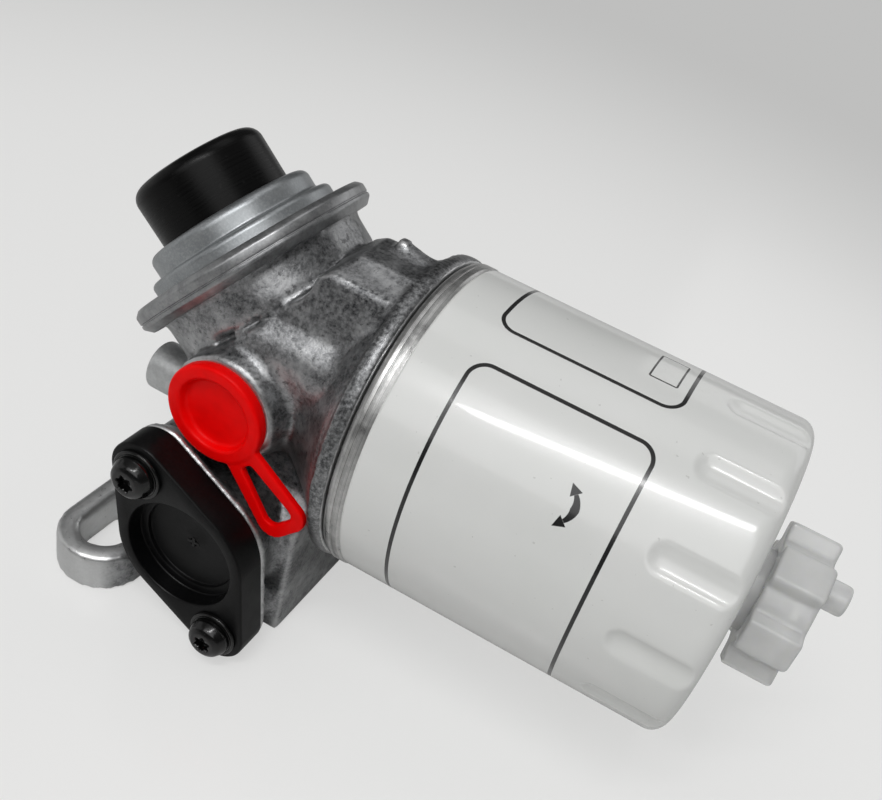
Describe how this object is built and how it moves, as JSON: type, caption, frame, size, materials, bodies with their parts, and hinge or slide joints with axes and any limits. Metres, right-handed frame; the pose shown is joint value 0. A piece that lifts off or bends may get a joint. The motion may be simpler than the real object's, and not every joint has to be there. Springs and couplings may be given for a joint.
{
  "type": "inline fuel filter with hand primer pump",
  "caption": "Diesel fuel pre-filter: cast head with a tilted hand primer pump, plugged inlet port, heater cover and slotted lugs, and a spin-on canister with a drain knob.",
  "frame": {"origin": "midway between the two lug slots, on the mounting face", "axes": "+Z out of the mounting face, +X along the canister towards the drain, -Y the side of the fuel inlet and the heater cover; bolted to a vertical wall in use, with +X downwards"},
  "size_m": [0.2246, 0.1152, 0.1335],
  "materials": {
    "cast_aluminium": "die cast, mottled satin",
    "bare_steel": "satin",
    "tin_plate": "smooth",
    "dull_zinc": "dull zinc plate",
    "zinc_plate": "smooth zinc plate",
    "black_button": "satin, fine turning marks",
    "black_cover": "black anodised satin",
    "black_screw": "glossy black",
    "red_plastic": "soft, semi-gloss",
    "white_paint": "glossy white paint",
    "drain_plastic": "milky translucent",
    "rubber": "matt",
    "media_paper": "pleated filter paper"
  },
  "bodies": {
    "head": {"head_casting": "cast_aluminium", "side_plug": "bare_steel", "canister_nipple": "bare_steel", "clamp_ring": "dull_zinc", "pump_diaphragm": "rubber", "pump_cover": "zinc_plate", "pump_spring": "bare_steel", "inlet_check_valve": "rubber", "outlet_check_valve": "rubber", "heater_cover": "black_cover", "cover_seal": "rubber", "cover_screw_upper": "black_screw", "cover_screw_lower": "black_screw", "cover_washers": "black_screw"},
    "button": {"pump_button": "black_button", "pump_plunger": "bare_steel"},
    "plug": {"inlet_plug": "red_plastic"},
    "gasket": {"canister_gasket": "rubber"},
    "canister": {"can_shell": "white_paint", "seaming_lid": "bare_steel", "tapping_plate": "bare_steel", "filter_media": "media_paper", "centre_tube": "tin_plate", "element_cap_upper": "tin_plate", "element_cap_lower": "tin_plate", "element_grommet": "rubber", "element_spring": "bare_steel", "drain_socket": "drain_plastic"},
    "knob_seal": {"drain_seal": "rubber"},
    "knob": {"drain_knob": "drain_plastic"}
  },
  "joints": [
    {"name": "button_press", "type": "slide", "parent": "head", "child": "button", "axis": [0.7649, 0, -0.6441], "range_m": [0, 0.008], "stiffness_N_per_m": 600, "springref_m": -0.01, "deforming": ["pump_spring", "pump_diaphragm"]},
    {"name": "plug_pull", "type": "slide", "parent": "head", "child": "plug", "axis": [0, -1, 0], "range_m": [0, 0.02]},
    {"name": "canister_lift", "type": "slide", "parent": "head", "child": "gasket", "axis": [1, 0, 0], "range_m": [0, 0.012]},
    {"name": "canister_turn", "type": "hinge", "parent": "gasket", "child": "canister", "pos_m": [0.0715, 0, 0.076], "axis": [1, 0, 0], "range_deg": [0, 2880]},
    {"name": "knob_lift", "type": "slide", "parent": "canister", "child": "knob_seal", "axis": [1, 0, 0], "range_m": [0, 0.00225]},
    {"name": "knob_turn", "type": "hinge", "parent": "knob_seal", "child": "knob", "pos_m": [0.19, 0, 0.076], "axis": [1, 0, 0], "range_deg": [0, 540]}
  ],
  "couplings": [
    {"joint": "canister_lift", "follows": "canister_turn", "m_per_rad": 0.00023873},
    {"joint": "knob_lift", "follows": "knob_turn", "m_per_rad": 0.00023873}
  ]
}
